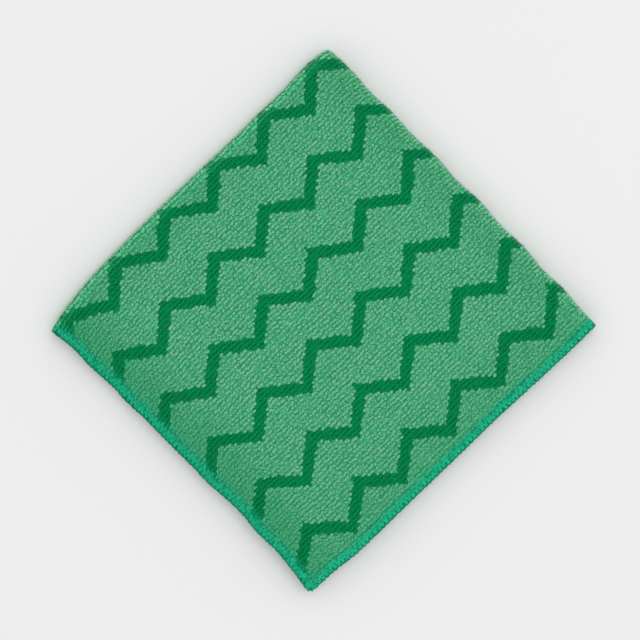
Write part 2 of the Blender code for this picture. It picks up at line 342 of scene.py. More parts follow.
class Tree:
    """A node tree, with short ways to add a node and to join it up."""

    def __init__(self, tree):
        self.tree = tree

    def put(self, socket, value):
        if isinstance(value, bpy.types.NodeSocket):
            self.tree.links.new(value, socket)
        else:
            socket.default_value = value

    def add(self, kind, inputs=None, **settings):
        node = self.tree.nodes.new(kind)
        for name, value in settings.items():
            setattr(node, name, value)
        for name, value in (inputs or {}).items():
            self.put(node.inputs[name], value)
        return node

    def made(self, kind, inputs=None, **settings):
        """The first output of a new node."""
        return self.add(kind, inputs, **settings).outputs[0]

    def math(self, operation, *values):
        return self.made("ShaderNodeMath", dict(enumerate(values)), operation=operation)

    def plus(self, one, other):
        return self.math("ADD", one, other)

    def minus(self, one, other):
        return self.math("SUBTRACT", one, other)

    def times(self, one, other):
        return self.math("MULTIPLY", one, other)

    def times_plus(self, one, other, more):
        return self.math("MULTIPLY_ADD", one, other, more)

    def size(self, value):
        """A number without its sign."""
        return self.math("ABSOLUTE", value)

    def join(self, *parts):
        """One vector of up to three numbers."""
        return self.made("ShaderNodeCombineXYZ", dict(enumerate(parts)))

    def split(self, value):
        """The first two numbers of a vector."""
        return self.add("ShaderNodeSeparateXYZ", {0: value}).outputs[:2]

    def noise(self, scale, detail, place=None):
        inputs = {"Scale": scale, "Detail": detail}
        if place is not None:
            inputs["Vector"] = place
        return self.made("ShaderNodeTexNoise", inputs)

    def flat_place(self):
        """Where a point of the folded cloth lies on the flat one."""
        return self.made("ShaderNodeUVMap", uv_map="flat")

    def read(self, name):
        """A number that was kept on each point."""
        return self.add("ShaderNodeAttribute", attribute_name=name).outputs["Fac"]

    def vector(self, operation, value, by):
        node = self.add("ShaderNodeVectorMath", {0: value}, operation=operation)
        self.put(node.inputs["Scale" if operation == "SCALE" else 1], by)
        return node.outputs[0]

    def blend(self, share, low, high):
        """A colour between two."""
        node = self.add("ShaderNodeMix", {0: share, 6: low, 7: high}, data_type="RGBA")
        return node.outputs[2]

    def between(self, value, low, high):
        """0 at low and beyond it, 1 at high and beyond it, and smooth from one to the other."""
        return self.made("ShaderNodeMapRange", {0: value, 1: low, 2: high}, interpolation_type="SMOOTHSTEP")

    def within(self, distance, zone):
        """0 before a zone starts, and 1 where it is whole."""
        return self.between(distance, *zone)

    def store(self, geometry, name, value):
        """The geometry with a number kept on each of its points."""
        given = {"Geometry": geometry, "Name": name, "Value": value}
        return self.made("GeometryNodeStoreNamedAttribute", given, data_type="FLOAT", domain="POINT")

    def cover(self, shader, colour, height, strength, depth):
        """Gives a surface its colour and the small relief of a height."""
        raised = self.made("ShaderNodeBump", {"Strength": strength, "Distance": depth, "Height": height})
        self.put(shader.inputs["Base Color"], colour)
        self.put(shader.inputs["Normal"], raised)

    def here(self):
        """Where a point lies on the flat cloth."""
        return self.split(self.made("GeometryNodeInputPosition"))

    def run_length(self):
        """How far along its curve a point lies."""
        return self.add("GeometryNodeSplineParameter").outputs["Length"]

    def move(self, geometry, offset):
        return self.made("GeometryNodeSetPosition", {"Geometry": geometry, "Offset": offset})

    def repeat(self, instance, points, turn, scale):
        """The instance on each point."""
        given = {"Points": points, "Instance": instance, "Rotation": turn, "Scale": scale}
        return self.made("GeometryNodeInstanceOnPoints", given)

    def dress(self, geometry, material):
        """The geometry made real, in one material."""
        real = self.made("GeometryNodeRealizeInstances", {"Geometry": geometry})
        return self.made("GeometryNodeSetMaterial", {"Geometry": real, "Material": material})

    def random(self, low, high, seed, key=None):
        """A number for each point, or for each value of a key."""
        node = self.add("FunctionNodeRandomValue", {2: low, 3: high, "Seed": seed}, data_type="FLOAT")
        if key is not None:
            self.put(node.inputs["ID"], key)
        return node.outputs[1]


def new_group(name, kind, inputs, outputs):
    """A node group with these named sockets: its nodes, what it is given and what it gives."""
    tree = bpy.data.node_groups.new(name, kind)
    for label, socket, start in inputs:
        made = tree.interface.new_socket(label, in_out="INPUT", socket_type="NodeSocket" + socket)
        if start is not None:
            made.default_value = start
    for label, socket in outputs:
        tree.interface.new_socket(label, in_out="OUTPUT", socket_type="NodeSocket" + socket)
    build = Tree(tree)
    return build, build.add("NodeGroupInput").outputs, build.add("NodeGroupOutput").inputs


def row_rise(build, u, v):
    """How far along v the knit's rows have risen here from where they'd lie straight."""
    near_crease = build.minus(1.0, build.math("DIVIDE", build.size(u), CUT_HALF))
    far_row = build.math("DIVIDE", build.size(v), CUT_HALF)
    rise = build.times_plus(far_row, ROW_RISE[1] - ROW_RISE[0], ROW_RISE[0])
    rise = build.times(build.math("POWER", near_crease, 2.0), rise)
    sag = build.times(build.math("SINE", build.times(near_crease, math.pi)), ROW_SAG)
    return build.minus(rise, sag)


def zigzag(build, u, v):
    """How far a flat place is from the middle of the nearest stripe, along v."""
    drawn = build.between(u, DRAWN_FROM_HEM.start - CUT_HALF, DRAWN_FROM_HEM.whole - CUT_HALF)
    drawn = build.times(drawn, build.within(build.size(v), DRAWN_FROM_CREASE))
    u = build.times_plus(drawn, HEM_DRAW, u)
    v = build.plus(v, row_rise(build, u, v))
    along = build.minus(u, build.times(v, ZIGZAG_SKEW))
    start = ZIGZAG_PEAK_U - ZIGZAG_SKEW * ZIGZAG_ROW_V
    leg = build.math("PINGPONG", build.minus(along, start), ZIGZAG_PERIOD / 2)
    line = build.times_plus(leg, 2 * ZIGZAG_HEIGHT / ZIGZAG_PERIOD, ZIGZAG_ROW_V - ZIGZAG_HEIGHT / 2)
    low_corner = build.between(leg, ZIGZAG_CORNER, 0.0)
    high_corner = build.between(leg, ZIGZAG_PERIOD / 2 - ZIGZAG_CORNER, ZIGZAG_PERIOD / 2)
    line = build.times_plus(build.minus(high_corner, low_corner), ZIGZAG_SNAP, line)
    return build.math("PINGPONG", build.minus(v, line), ZIGZAG_SPACING / 2)


# -------- materials

# Each yarn's pale and dark colours: a loop takes a random tone between them, and high points lean to the
# pale one and low points to the dark one as painted light and shade
GROUND_LIGHT = (0.203, 0.540, 0.332, 1)
GROUND_DEEP = (0.050, 0.456, 0.196, 1)
STRIPE_LIGHT = (0.001, 0.240, 0.082, 1)
STRIPE_DEEP = (0.001, 0.222, 0.069, 1)
THREAD_LIGHT = (0.017, 0.525, 0.276, 1)
THREAD_DEEP = (0.003, 0.290, 0.150, 1)
# the pale colour of loose fibres, made lighter partly as painted sheen; also laid on the creases
FIBRE_LIGHT = (0.600, 0.880, 0.700, 1)
BAND_GAP_SHADE = (0.002, 0.200, 0.105, 1)  # painted shade of the gaps between the overlock's threads
BAND_ZONE = Zone(BAND + 1.6 * MM, BAND - 0.4 * MM)  # from a hem, as the next two
OPEN_STITCH_ZONE = Zone(2.6 * MM, 1.8 * MM)
PRESSED_ZONE = Zone(8.2 * MM, 4.8 * MM)
HEM_TINT = (0.010, 0.420, 0.215, 1)  # of the loops that the overlock presses on
EDGE_SHADE_TINT = (0.42, 0.79, 0.71, 1)  # painted shade towards hems and creases: darker and more saturated than the middle
EDGE_SHADE_SHARE = 0.55  # how much of that painted shade the pile has beside hems and creases
SHADE_BY_HEM = Zone(42 * MM, 10 * MM)
SHADE_BY_LEFT_HEM = Zone(30 * MM, 8 * MM)
LEFT_HEM_SHADE = 1.2  # how much more of that painted shade the pile has beside the left hem
SHADE_BY_CREASE = Zone(26 * MM, 8 * MM)
CREASE_HIGHLIGHT = 1.15  # painted highlight: how far the painted shade is taken away again right beside a crease, so the pile lightens there
CREASE_HIGHLIGHT_ZONE = Zone(6.5 * MM, 2.5 * MM)
CREASE_LIGHT_TINT = (0.060, 0.750, 0.320, 1)  # painted light: a brighter, greener colour just inside the second crease
CREASE_LIGHT_SHARE = 0.38  # how much of that tint it has
CREASE_LIGHT_ZONE = Zone(7.4 * MM, 5.4 * MM)
RIM_SHARE = 0.38  # of pale colour right on the creases: partly loose pale fibres, partly painted sheen where the crease rounds over
FIRST_RIM_ZONE = Zone(2.2 * MM, 0.8 * MM)
SECOND_RIM_ZONE = Zone(5.0 * MM, 1.5 * MM)
LOWER_HEM_TONE = 0.24  # how much lighter the thread of the lower hem is
PIT_WIDTH = 1.5 * MM  # of the hollows between the loops
STREAK_STRETCH = 0.16  # how wide a fibre's streak is for its length along the yarn

CLOTH_LOOKS = {
    "Roughness": 0.92,
    "Specular IOR Level": 0.05,
    "Sheen Roughness": 0.45,
    "Sheen Tint": (0.45, 1.0, 0.70, 1),
}
YARN_INPUTS = (
    "Deep", "Light", "Fibre Width", "Streaks", "Mottle", "Mottle Width", "Pit Shade", "Wear", "Tip Light"
)
Yarn = namedtuple("Yarn", "name bump sheen inputs")
GROUND_YARN = Yarn(
    "terry_ground", 0.60, 0.25, (GROUND_DEEP, GROUND_LIGHT, 0.13 * MM, 0.65, 0.50, 13 * MM, 1.02, 0.80, 1.0)
)
STRIPE_YARN = Yarn(
    "terry_stripe", 0.35, 0.00, (STRIPE_DEEP, STRIPE_LIGHT, 0.13 * MM, 0.40, 0.30, 13 * MM, 1.10, 0.40, 0.0)
)
OVERLOCK_YARN = Yarn(
    "overlock_yarn", 0.80, 0.03, (THREAD_DEEP, THREAD_LIGHT, 0.11 * MM, 1.0, 2.3, 2.6 * MM, 0.70, 0.00, 0.0)
)


def yarn_group():
    """Shared: the streaky colour and the fine fibres of a microfibre yarn, which run along the yarn, with
    painted shade low in the pile and towards hems and creases, and painted light on loop tops and on the
    creases.
    """
    build, given, gives = new_group(
        "microfibre_yarn",
        "ShaderNodeTree",
        (
            ("Place", "Vector", None),
            ("Along", "Float", 0.0),
            ("Round", "Float", 0.0),
            ("Tone", "Float", 0.5),
            ("Rise", "Float", 1.0),
            ("Deep", "Color", GROUND_DEEP),
            ("Light", "Color", GROUND_LIGHT),
            ("Fibre Width", "Float", 0.14 * MM),
            ("Streaks", "Float", 0.9),
            ("Mottle", "Float", 0.35),
            ("Mottle Width", "Float", 13 * MM),
            ("Pit Shade", "Float", 0.6),
            ("Wear", "Float", 0.3),
            ("Tip Light", "Float", 0.0),
        ),
        (("Colour", "Color"), ("Height", "Float")),
    )
    stretched = build.times(given["Along"], STREAK_STRETCH)
    fibre_place = build.join(stretched, given["Round"], build.times(given["Tone"], 0.5))
    fibre = build.noise(build.math("DIVIDE", 1.0, given["Fibre Width"]), 2.0, fibre_place)
    cloud = build.noise(build.math("DIVIDE", 1.0, given["Mottle Width"]), 4.0, given["Place"])
    streaky = build.times(build.minus(fibre, 0.5), given["Streaks"])
    cloudy = build.times(build.minus(cloud, 0.5), given["Mottle"])
    across, along = (build.size(side) for side in build.split(given["Place"]))
    inset = build.minus(CUT_HALF, build.math("MAXIMUM", across, along))
    crease = build.math("MINIMUM", across, along)
    # painted shade towards the hems, more at the left one, and towards the creases
    beside_left = build.within(build.minus(CUT_HALF, across), SHADE_BY_LEFT_HEM)
    beside_hem = build.times_plus(beside_left, LEFT_HEM_SHADE, build.within(inset, SHADE_BY_HEM))
    edge_shade = build.math("MAXIMUM", beside_hem, build.within(crease, SHADE_BY_CREASE))
    # painted highlight: right beside a crease the painted shade is taken away again
    edge_shade = build.minus(edge_shade, build.times(build.within(crease, CREASE_HIGHLIGHT_ZONE), CREASE_HIGHLIGHT))
    edge_shade = build.times(edge_shade, build.times(given["Wear"], EDGE_SHADE_SHARE))
    pressed = build.times(build.within(inset, PRESSED_ZONE), given["Wear"])
    share = build.plus(build.plus(given["Tone"], streaky), cloudy)
    # painted light and shade: loop tops lighter and their low parts darker, as much as Tip Light says
    share = build.times_plus(build.minus(given["Rise"], 0.75), given["Tip Light"], share)
    tone_colour = build.blend(build.made("ShaderNodeClamp", {0: share}), given["Deep"], given["Light"])
    tint = build.blend(edge_shade, (1, 1, 1, 1), EDGE_SHADE_TINT)
    edge_painted = build.vector("MULTIPLY", tone_colour, tint)
    # painted light: a brighter, greener band just inside the second crease
    crease_light = build.times(build.within(along, CREASE_LIGHT_ZONE), given["Wear"])
    edge_painted = build.blend(build.times(crease_light, CREASE_LIGHT_SHARE), edge_painted, CREASE_LIGHT_TINT)
    # pale right on the creases: loose fibres and painted sheen
    rim = build.math("MAXIMUM", build.within(along, SECOND_RIM_ZONE), build.within(across, FIRST_RIM_ZONE))
    rim = build.times(rim, build.times(given["Wear"], RIM_SHARE))
    lit = build.blend(pressed, build.blend(rim, edge_painted, FIBRE_LIGHT), HEM_TINT)
    # painted shade: low in the pile the colour goes to the deep colour times Pit Shade
    rise = build.made("ShaderNodeClamp", {0: given["Rise"]})
    shade = build.vector("MULTIPLY", build.vector("SCALE", given["Deep"], given["Pit Shade"]), tint)
    build.put(gives["Colour"], build.blend(rise, shade, lit))
    build.put(gives["Height"], fibre)
    return build.tree


def new_material(name, looks):
    """A material, its nodes and its shader, with these values on the shader's inputs."""
    material = bpy.data.materials.new(name)
    material.use_nodes = True
    shader = material.node_tree.nodes["Principled BSDF"]
    for label, value in looks.items():
        shader.inputs[label].default_value = value
    return material, Tree(material.node_tree), shader


def yarn_material(yarn, group):
    """Reads a piece's flat place, its place along and round the yarn, and each loop's tone and rise."""
    material, build, shader = new_material(yarn.name, {"Sheen Weight": yarn.sheen, **CLOTH_LOOKS})
    given = dict(zip(YARN_INPUTS, yarn.inputs))
    for name in ("along", "round", "tone", "rise"):
        given[name.title()] = build.read(name)
    given["Place"] = build.flat_place()
    colour, height = build.add("ShaderNodeGroup", given, node_tree=group).outputs
    build.cover(shader, colour, height, yarn.bump, 0.25 * MM)
    return material


def stripe_share(build, place):
    """1 on the zigzag's stripes and 0 between them, at a flat place."""
    u, v = build.split(place)
    return build.within(zigzag(build, u, v), STRIPE_EDGE)


def fibre_material():
    """Single fibres that stand out of the pile: in the colours of the loops round them, a little lighter,
    partly as painted sheen.
    """
    material, build, shader = new_material("stray_fibre", {"Sheen Weight": 0.2, **CLOTH_LOOKS})
    stripe = stripe_share(build, build.flat_place())
    deep = build.blend(stripe, GROUND_LIGHT, STRIPE_LIGHT)
    light = build.blend(stripe, FIBRE_LIGHT, GROUND_DEEP)
    build.put(shader.inputs["Base Color"], build.blend(build.read("tone"), deep, light))
    return material


def ground_material(group):
    """The knit between the loops and under the thread. What it doesn't give has the yarn group's value."""
    material, build, shader = new_material("knit_ground", {"Sheen Weight": 0.0, **CLOTH_LOOKS})
    place = build.flat_place()
    u, v = build.split(place)
    stripe = stripe_share(build, place)
    inset = build.minus(CUT_HALF, build.math("MAXIMUM", build.size(u), build.size(v)))
    band = build.within(inset, BAND_ZONE)
    # painted shade: dark spots in the gaps between the threads near the rim
    gap_shade = build.between(build.noise(260.0, 1.0, place), 0.48, 0.36)
    gap_shade = build.times(gap_shade, build.within(inset, OPEN_STITCH_ZONE))
    under_thread = build.blend(gap_shade, build.blend(0.4, THREAD_DEEP, THREAD_LIGHT), BAND_GAP_SHADE)
    deep = build.blend(band, build.blend(stripe, GROUND_DEEP, STRIPE_DEEP), under_thread)
    light = build.blend(band, build.blend(stripe, GROUND_LIGHT, STRIPE_LIGHT), under_thread)
    pits = build.add("ShaderNodeTexVoronoi", {"Vector": place, "Scale": 1 / PIT_WIDTH, "Randomness": 0.9})
    # painted shade: the hollows between the loops take the pit colour through Rise; they also sink in the
    # bump
    hollow = build.between(pits.outputs["Distance"], 0.20, 0.75)
    given = {
        "Place": place,
        "Along": u,
        "Round": v,
        "Tone": 0.45,
        "Rise": build.minus(0.95, hollow),
        "Pit Shade": build.times_plus(stripe, 0.32, 0.68),
        "Deep": deep,
        "Light": light,
        "Fibre Width": 0.16 * MM,
    }
    colour, height = build.add("ShaderNodeGroup", given, node_tree=group).outputs
    rib = build.math("SINE", build.times(v, 2 * math.pi / RIB_PITCH))
    height = build.minus(build.times_plus(rib, 0.5, height), hollow)
    build.cover(shader, colour, height, 0.8, 0.30 * MM)
    return material


# -------- geometry trees


def pile_tree():
    """Repeats one loop over the ribs of a rectangle of cloth, keeping the loops of one colour."""
    build, given, gives = new_group(
        "terry_pile",
        "GeometryNodeTree",
        (
            ("Loop", "Geometry", None),
            ("Ribs", "Int", 10),
            ("Loops", "Int", 10),
            ("Rib Pitch", "Float", RIB_PITCH),
            ("Loop Pitch", "Float", LOOP_PITCH),
            ("Middle", "Vector", (0, 0, 0)),
            ("Reach", "Float", CUT_HALF),
            ("Striped", "Float", 0.0),
            ("Unevenness", "Float", 1.0),
            ("Seed", "Int", 1),
            ("Material", "Material", None),
        ),
        (("Pile", "Geometry"),),
    )
    width = build.times(build.minus(given["Loops"], 1), given["Loop Pitch"])
    length = build.times(build.minus(given["Ribs"], 1), given["Rib Pitch"])
    counts = {"Vertices X": given["Loops"], "Vertices Y": given["Ribs"]}
    grid = build.made("GeometryNodeMeshGrid", {"Size X": width, "Size Y": length, **counts})
    placed = build.made("GeometryNodeTransform", {"Geometry": grid, "Translation": given["Middle"]})

    u, v = build.here()
    rib = build.math("ROUND", build.math("DIVIDE", v, given["Rib Pitch"]))

    def spread(amount, step, key=None):
        """A random number up to amount either way."""
        seed = build.plus(given["Seed"], step)
        return build.times(build.random(-amount, amount, seed, key), given["Unevenness"])

    shift = build.plus(spread(LOOP_PITCH / 2, 50, rib), spread(LOOP_SPREAD.along, 1))
    wander = build.times(build.minus(build.noise(60.0, 2.0), 0.5), RIB_WANDER)
    across = build.minus(build.plus(wander, spread(LOOP_SPREAD.across, 2)), row_rise(build, u, v))
    moved = build.move(placed, build.join(shift, across, spread(LOOP_SPREAD.up, 3)))

    u, v = build.here()
    distance = zigzag(build, u, v)
    in_stripe = build.math("LESS_THAN", distance, STRIPE_HALF)
    wrong = build.math("COMPARE", in_stripe, build.minus(1.0, given["Striped"]), 0.1)
    outside = build.math("GREATER_THAN", build.size(v), given["Reach"])
    unwanted = {"Geometry": moved, "Selection": build.math("MAXIMUM", wrong, outside)}
    kept = build.made("GeometryNodeDeleteGeometry", unwanted, domain="POINT")
    beside = build.times(build.within(distance, BESIDE_STRIPE), build.minus(1.0, given["Striped"]))
    tone = build.times_plus(beside, BESIDE_TONE, build.plus(LOOP_TONE, spread(LOOP_SPREAD.tone, 4)))

    turn = build.join(*(spread(amount, step) for step, amount in enumerate(LOOP_SPREAD.turn, 5)))
    sizes = (build.plus(1.0, spread(amount, step)) for step, amount in enumerate(LOOP_SPREAD.size, 8))
    long, wide, high = sizes
    sunk = build.random(0.0, 1.0, build.plus(given["Seed"], 50))
    sunk = build.times(build.math("GREATER_THAN", sunk, 1 - SUNK_SHARE), SUNK_DEPTH)
    scale = build.join(long, wide, build.minus(high, sunk))
    loops = build.repeat(given["Loop"], build.store(kept, "tone", tone), turn, scale)
    build.put(gives["Pile"], build.dress(loops, given["Material"]))
    return build.tree


def fibre_tree():
    """Scatters one fibre over a rectangle of cloth, each leaning its own way."""
    build, given, gives = new_group(
        "stray_fibres",
        "GeometryNodeTree",
        (
            ("Fibre", "Geometry", None),
            ("Count", "Int", 100),
            ("Middle", "Vector", (0, 0, 0)),
            ("Size", "Vector", (0.1, 0.1, 0)),
            ("Seed", "Int", 1),
            ("Material", "Material", None),
        ),
        (("Fibres", "Geometry"),),
    )

    def spread(low, high, step):
        return build.random(low, high, build.plus(given["Seed"], step))

    share = build.join(spread(-0.5, 0.5, 0), spread(-0.5, 0.5, 1))
    place = build.vector("ADD", build.vector("MULTIPLY", share, given["Size"]), given["Middle"])
    points = build.made("GeometryNodePoints", {"Count": given["Count"], "Position": place})
    toned = build.store(points, "tone", spread(0.0, 1.0, 2))
    turn = build.join(spread(0.2, 1.25, 3), 0.0, spread(0.0, 2 * math.pi, 4))
    fibres = build.repeat(given["Fibre"], toned, turn, spread(0.55, 1.35, 5))
    build.put(gives["Fibres"], build.dress(fibres, given["Material"]))
    return build.tree


def thread_tree():
    """A thread that swings from one inset to another with each stitch, along the start of a hem."""
    build, given, gives = new_group(
        "overlock_thread",
        "GeometryNodeTree",
        (
            ("Geometry", "Geometry", None),
            ("Swings", "Int", 10),
            ("Swing Pitch", "Float", STITCH / 2),
            ("Near", "Float", 0.0),
            ("Far", "Float", BAND),
            ("Unevenness", "Float", 0.3 * MM),
            ("Far Unevenness", "Float", 0.6 * MM),
            ("Width", "Float", 1.0 * MM),
            ("Height", "Float", 0.4 * MM),
            ("Rise", "Float", 0.0),
            ("Dip", "Float", 0.0),
            ("Tone", "Float", 0.5),
            ("Rim Spread", "Float", 1.0),
            ("Steps", "Int", 4),
            ("Seed", "Int", 1),
            ("Material", "Material", None),
        ),
        (("Thread", "Geometry"),),
    )
    length = build.times(given["Swings"], given["Swing Pitch"])
    swings = {
        "Count": build.plus(given["Swings"], 1),
        "Start Location": build.join(build.times(length, -0.5)),
        "Offset": build.join(given["Swing Pitch"]),
    }
    line = build.made("GeometryNodeMeshLine", swings)
    odd = build.math("MODULO", build.made("GeometryNodeInputIndex"), 2.0)
    width = build.minus(given["Far"], given["Near"])
    swing = build.times_plus(odd, width, given["Near"])
    uneven = given["Unevenness"]
    along = build.times(build.random(-1.0, 1.0, given["Seed"]), uneven)
    reach = build.times_plus(odd, build.minus(given["Far Unevenness"], uneven), uneven)
    out = build.times(build.random(-1.0, 1.0, build.plus(given["Seed"], 1)), reach)
    lift = build.times(build.random(-0.2, 0.2, build.plus(given["Seed"], 2)), uneven)
    lift = build.plus(lift, given["Rise"])
    lift = build.minus(lift, build.times(odd, given["Dip"]))
    bent = build.move(line, build.join(along, build.plus(swing, out), lift))
    curve = build.made("GeometryNodeMeshToCurve", {"Mesh": bent})
    soft = build.made("GeometryNodeCurveSplineType", {"Curve": curve}, spline_type="CATMULL_ROM")
    fine = build.made("GeometryNodeSetSplineResolution", {"Geometry": soft, "Resolution": given["Steps"]})
    spread = build.times_plus(odd, build.minus(1.0, given["Rim Spread"]), given["Rim Spread"])
    wider = build.made("GeometryNodeSetCurveRadius", {"Curve": fine, "Radius": spread})
    level = build.made("GeometryNodeSetCurveNormal", {"Curve": wider}, mode="Z_UP")
    level = build.store(level, "along", build.run_length())
    ring = build.made("GeometryNodeCurvePrimitiveCircle", {"Resolution": THREAD_SIDES, "Radius": 0.5})
    size = build.join(given["Width"], given["Height"], 1.0)
    profile = build.made("GeometryNodeTransform", {"Geometry": ring, "Scale": size})
    profile = build.store(profile, "round", build.run_length())
    parts = {"Curve": level, "Profile Curve": profile, "Fill Caps": True}
    toned = build.store(build.made("GeometryNodeCurveToMesh", parts), "tone", given["Tone"])
    build.put(gives["Thread"], build.dress(toned, given["Material"]))
    return build.tree


def new_object(name, data):
    made = bpy.data.objects.new(name, data)
    bpy.context.scene.collection.objects.link(made)
    return made


def run_tree(mesh, tree, **values):
    """The mesh that a geometry tree makes from this one, with the tree's inputs given by name."""
    source = new_object("source", mesh)
    modifier = source.modifiers.new("made", "NODES")
    modifier.node_group = tree
    for socket in tree.interface.items_tree:
        name = socket.name.replace(" ", "_").lower()
        if socket.in_out == "INPUT" and name in values:
            modifier[socket.identifier] = values[name]
    graph = bpy.context.evaluated_depsgraph_get()
    made = bpy.data.meshes.new_from_object(source.evaluated_get(graph), depsgraph=graph)
    source.modifiers.remove(modifier)
    bpy.data.objects.remove(source)
    return made


# -------- pieces


def finished(shape, name):
    """The mesh of a shape that needs no more work."""
    mesh = bpy.data.meshes.new(name)
    shape.to_mesh(mesh)
    shape.free()
    return mesh


def join_meshes(name, meshes):
    """Several meshes as one, with their UV maps and attributes."""
    shape = bmesh.new()
    for mesh in meshes:
        shape.from_mesh(mesh)
    joined = finished(shape, name)
    for material in meshes[0].materials:
        joined.materials.append(material)
    return joined


def coordinates(mesh):
    flat = np.empty(len(mesh.vertices) * 3)
    mesh.vertices.foreach_get("co", flat)
    return flat.reshape(-1, 3)


def mark_flat(mesh, places, bake_places=None):
    """Keeps each vertex's flat place in a UV map for the materials, and one from 0 to 1 for a bake."""
    corner = np.empty(len(mesh.loops), np.int32)
    mesh.loops.foreach_get("vertex_index", corner)
    low, high = places.min(axis=0), places.max(axis=0)
    if bake_places is None:
        bake_places = (places - low) / (high - low)
    for name, values in (("flat", places), ("OFBake", bake_places)):
        layer = mesh.uv_layers.new(name=name)
        layer.data.foreach_set("uv", values[corner].astype(np.float32).ravel())


def mark(mesh, name, values):
    """Keeps a number for each vertex."""
    layer = mesh.attributes.new(name, "FLOAT", "POINT")
    layer.data.foreach_set("value", np.asarray(values, np.float32))


def fold_flat(mesh, face, full_height, bake_places=None):
    """Folds a mesh that lies on one face of the flat cloth, with its height above the ground of the knit."""
    u, v, height = coordinates(mesh).T
    mark_flat(mesh, np.stack([u, v], axis=-1), bake_places)
    # rise: a point's height as a share of the full one; the materials darken low points as painted shade in
    # the pile
    mark(mesh, "rise", np.clip(height / full_height, 0.0, 1.0))
    inside_u, inside_v = np.clip(u, -CUT_HALF, CUT_HALF), np.clip(v, -CUT_HALF, CUT_HALF)
    folded = fold(u, v, face * (half_thickness(inside_u, inside_v, face) + height))
    mesh.vertices.foreach_set("co", folded.ravel())
    mesh.update()
    if face < 0:
        mesh.flip_normals()


def add_piece(name, mesh, replaces=False):
    piece = new_object(name, mesh)
    mesh.shade_smooth()
    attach(piece, BODY)
    if replaces:
        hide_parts("cloth")
    return piece


def stations(arc):
    """Flat places from hem to hem: close together in the hem and round the crease."""
    hem = [KNIT_INSET] + [step.inset for step in HEM_STEPS[1:]]
    count = round((CUT_HALF - arc - hem[-1]) / SHEET_STEP)
    layer = [mix(hem[-1], CUT_HALF - arc, i / count) for i in range(1, count + 1)]
    half = STEPS_ROUND_A_CREASE // 2
    turn = [CUT_HALF - arc * (1 - i / half) for i in range(1, half)]
    lower = [place - CUT_HALF for place in hem + layer + turn]
    return np.array(lower + [0.0] + [-place for place in reversed(lower)])


def make_sheet(material):
    """The knit itself: both faces and the rim, closed."""
    us = stations(FIRST_RADIUS * math.pi / 2)
    vs = stations((SECOND_RADIUS + FIRST_RADIUS) * math.pi / 2)
    flat_u, flat_v = np.meshgrid(us, vs, indexing="ij")
    columns, rows = flat_u.shape
    count = columns * rows
    faces_of = [fold(flat_u, flat_v, side * half_thickness(flat_u, flat_v, side)) for side in (1, -1)]
    points = np.concatenate([found.reshape(-1, 3) for found in faces_of])
    number = np.arange(count).reshape(columns, rows)
    a, b, c, d = number[:-1, :-1], number[1:, :-1], number[1:, 1:], number[:-1, 1:]
    outer = np.stack([a, b, c, d], axis=-1).reshape(-1, 4)
    inner = np.stack([a, d, c, b], axis=-1).reshape(-1, 4) + count
    rim = np.concatenate([number[:-1, 0], number[-1, :-1], number[:0:-1, -1], number[0, :0:-1]])
    after = np.roll(rim, -1)
    edge = np.stack([rim, rim + count, after + count, after], axis=-1)
    mesh = bpy.data.meshes.new("cloth_sheet")
    mesh.from_pydata(points.tolist(), [], np.concatenate([outer, inner, edge]).tolist())
    mesh.update()
    places = np.stack([flat_u.ravel(), flat_v.ravel()], axis=-1)
    mark_flat(mesh, np.concatenate([places, places]))
    shape = bmesh.new()
    shape.from_mesh(mesh)
    bmesh.ops.recalc_face_normals(shape, faces=shape.faces)
    shape.to_mesh(mesh)
    shape.free()
    mesh.materials.append(material)
    return add_piece("cloth_sheet", mesh, replaces=True)


def one_loop(height, width):
    """One terry loop: a low arch of soft yarn along u, with pointed ends that sink into the knit."""
    shape = bmesh.new()
    rings = []
    for ring in LOOP_RINGS:
        around = []
        for across, up in LOOP_SECTION:
            along = ring.along * LOOP_LENGTH / 2
            rise = (ring.middle + up * ring.size) * height
            around.append(shape.verts.new((along, across * width * ring.size, rise)))
        rings.append(around)
    ends = [shape.verts.new((side * LOOP_LENGTH / 2, 0, -0.15 * height)) for side in (-1, 1)]
    sides = [(i, (i + 1) % len(LOOP_SECTION)) for i in range(len(LOOP_SECTION))]
    for low, high in zip(rings, rings[1:]):
        for i, j in sides:
            shape.faces.new([low[i], low[j], high[j], high[i]])
    for i, j in sides:
        shape.faces.new([ends[0], rings[0][j], rings[0][i]])
        shape.faces.new([ends[1], rings[-1][i], rings[-1][j]])
    bmesh.ops.recalc_face_normals(shape, faces=shape.faces)
    mesh = finished(shape, "one_loop")
    places = coordinates(mesh)
    mark(mesh, "along", places[:, 0])
    mark(mesh, "round", places[:, 1] + places[:, 2])
    return mesh


Pile = namedtuple("Pile", "colour striped height width unevenness yarn")
PILES = (
    Pile("ground", 0.0, LOOP_HEIGHT, LOOP_WIDTH, 1.00, GROUND_YARN),
    Pile("stripe", 1.0, 0.48 * LOOP_HEIGHT, 1.25 * LOOP_WIDTH, 0.60, STRIPE_YARN),
)
PILE_REACH = CUT_HALF - BAND + 0.8 * MM  # from the cloth's middle to the last loops, under the thread
REACH_ROUND_CREASE = 5.5 * MM  # how far the loops go on round the first crease
LIT_FROM = 0.75  # of a loop's height: from there up it has its full colour, and below it darkens as painted shade


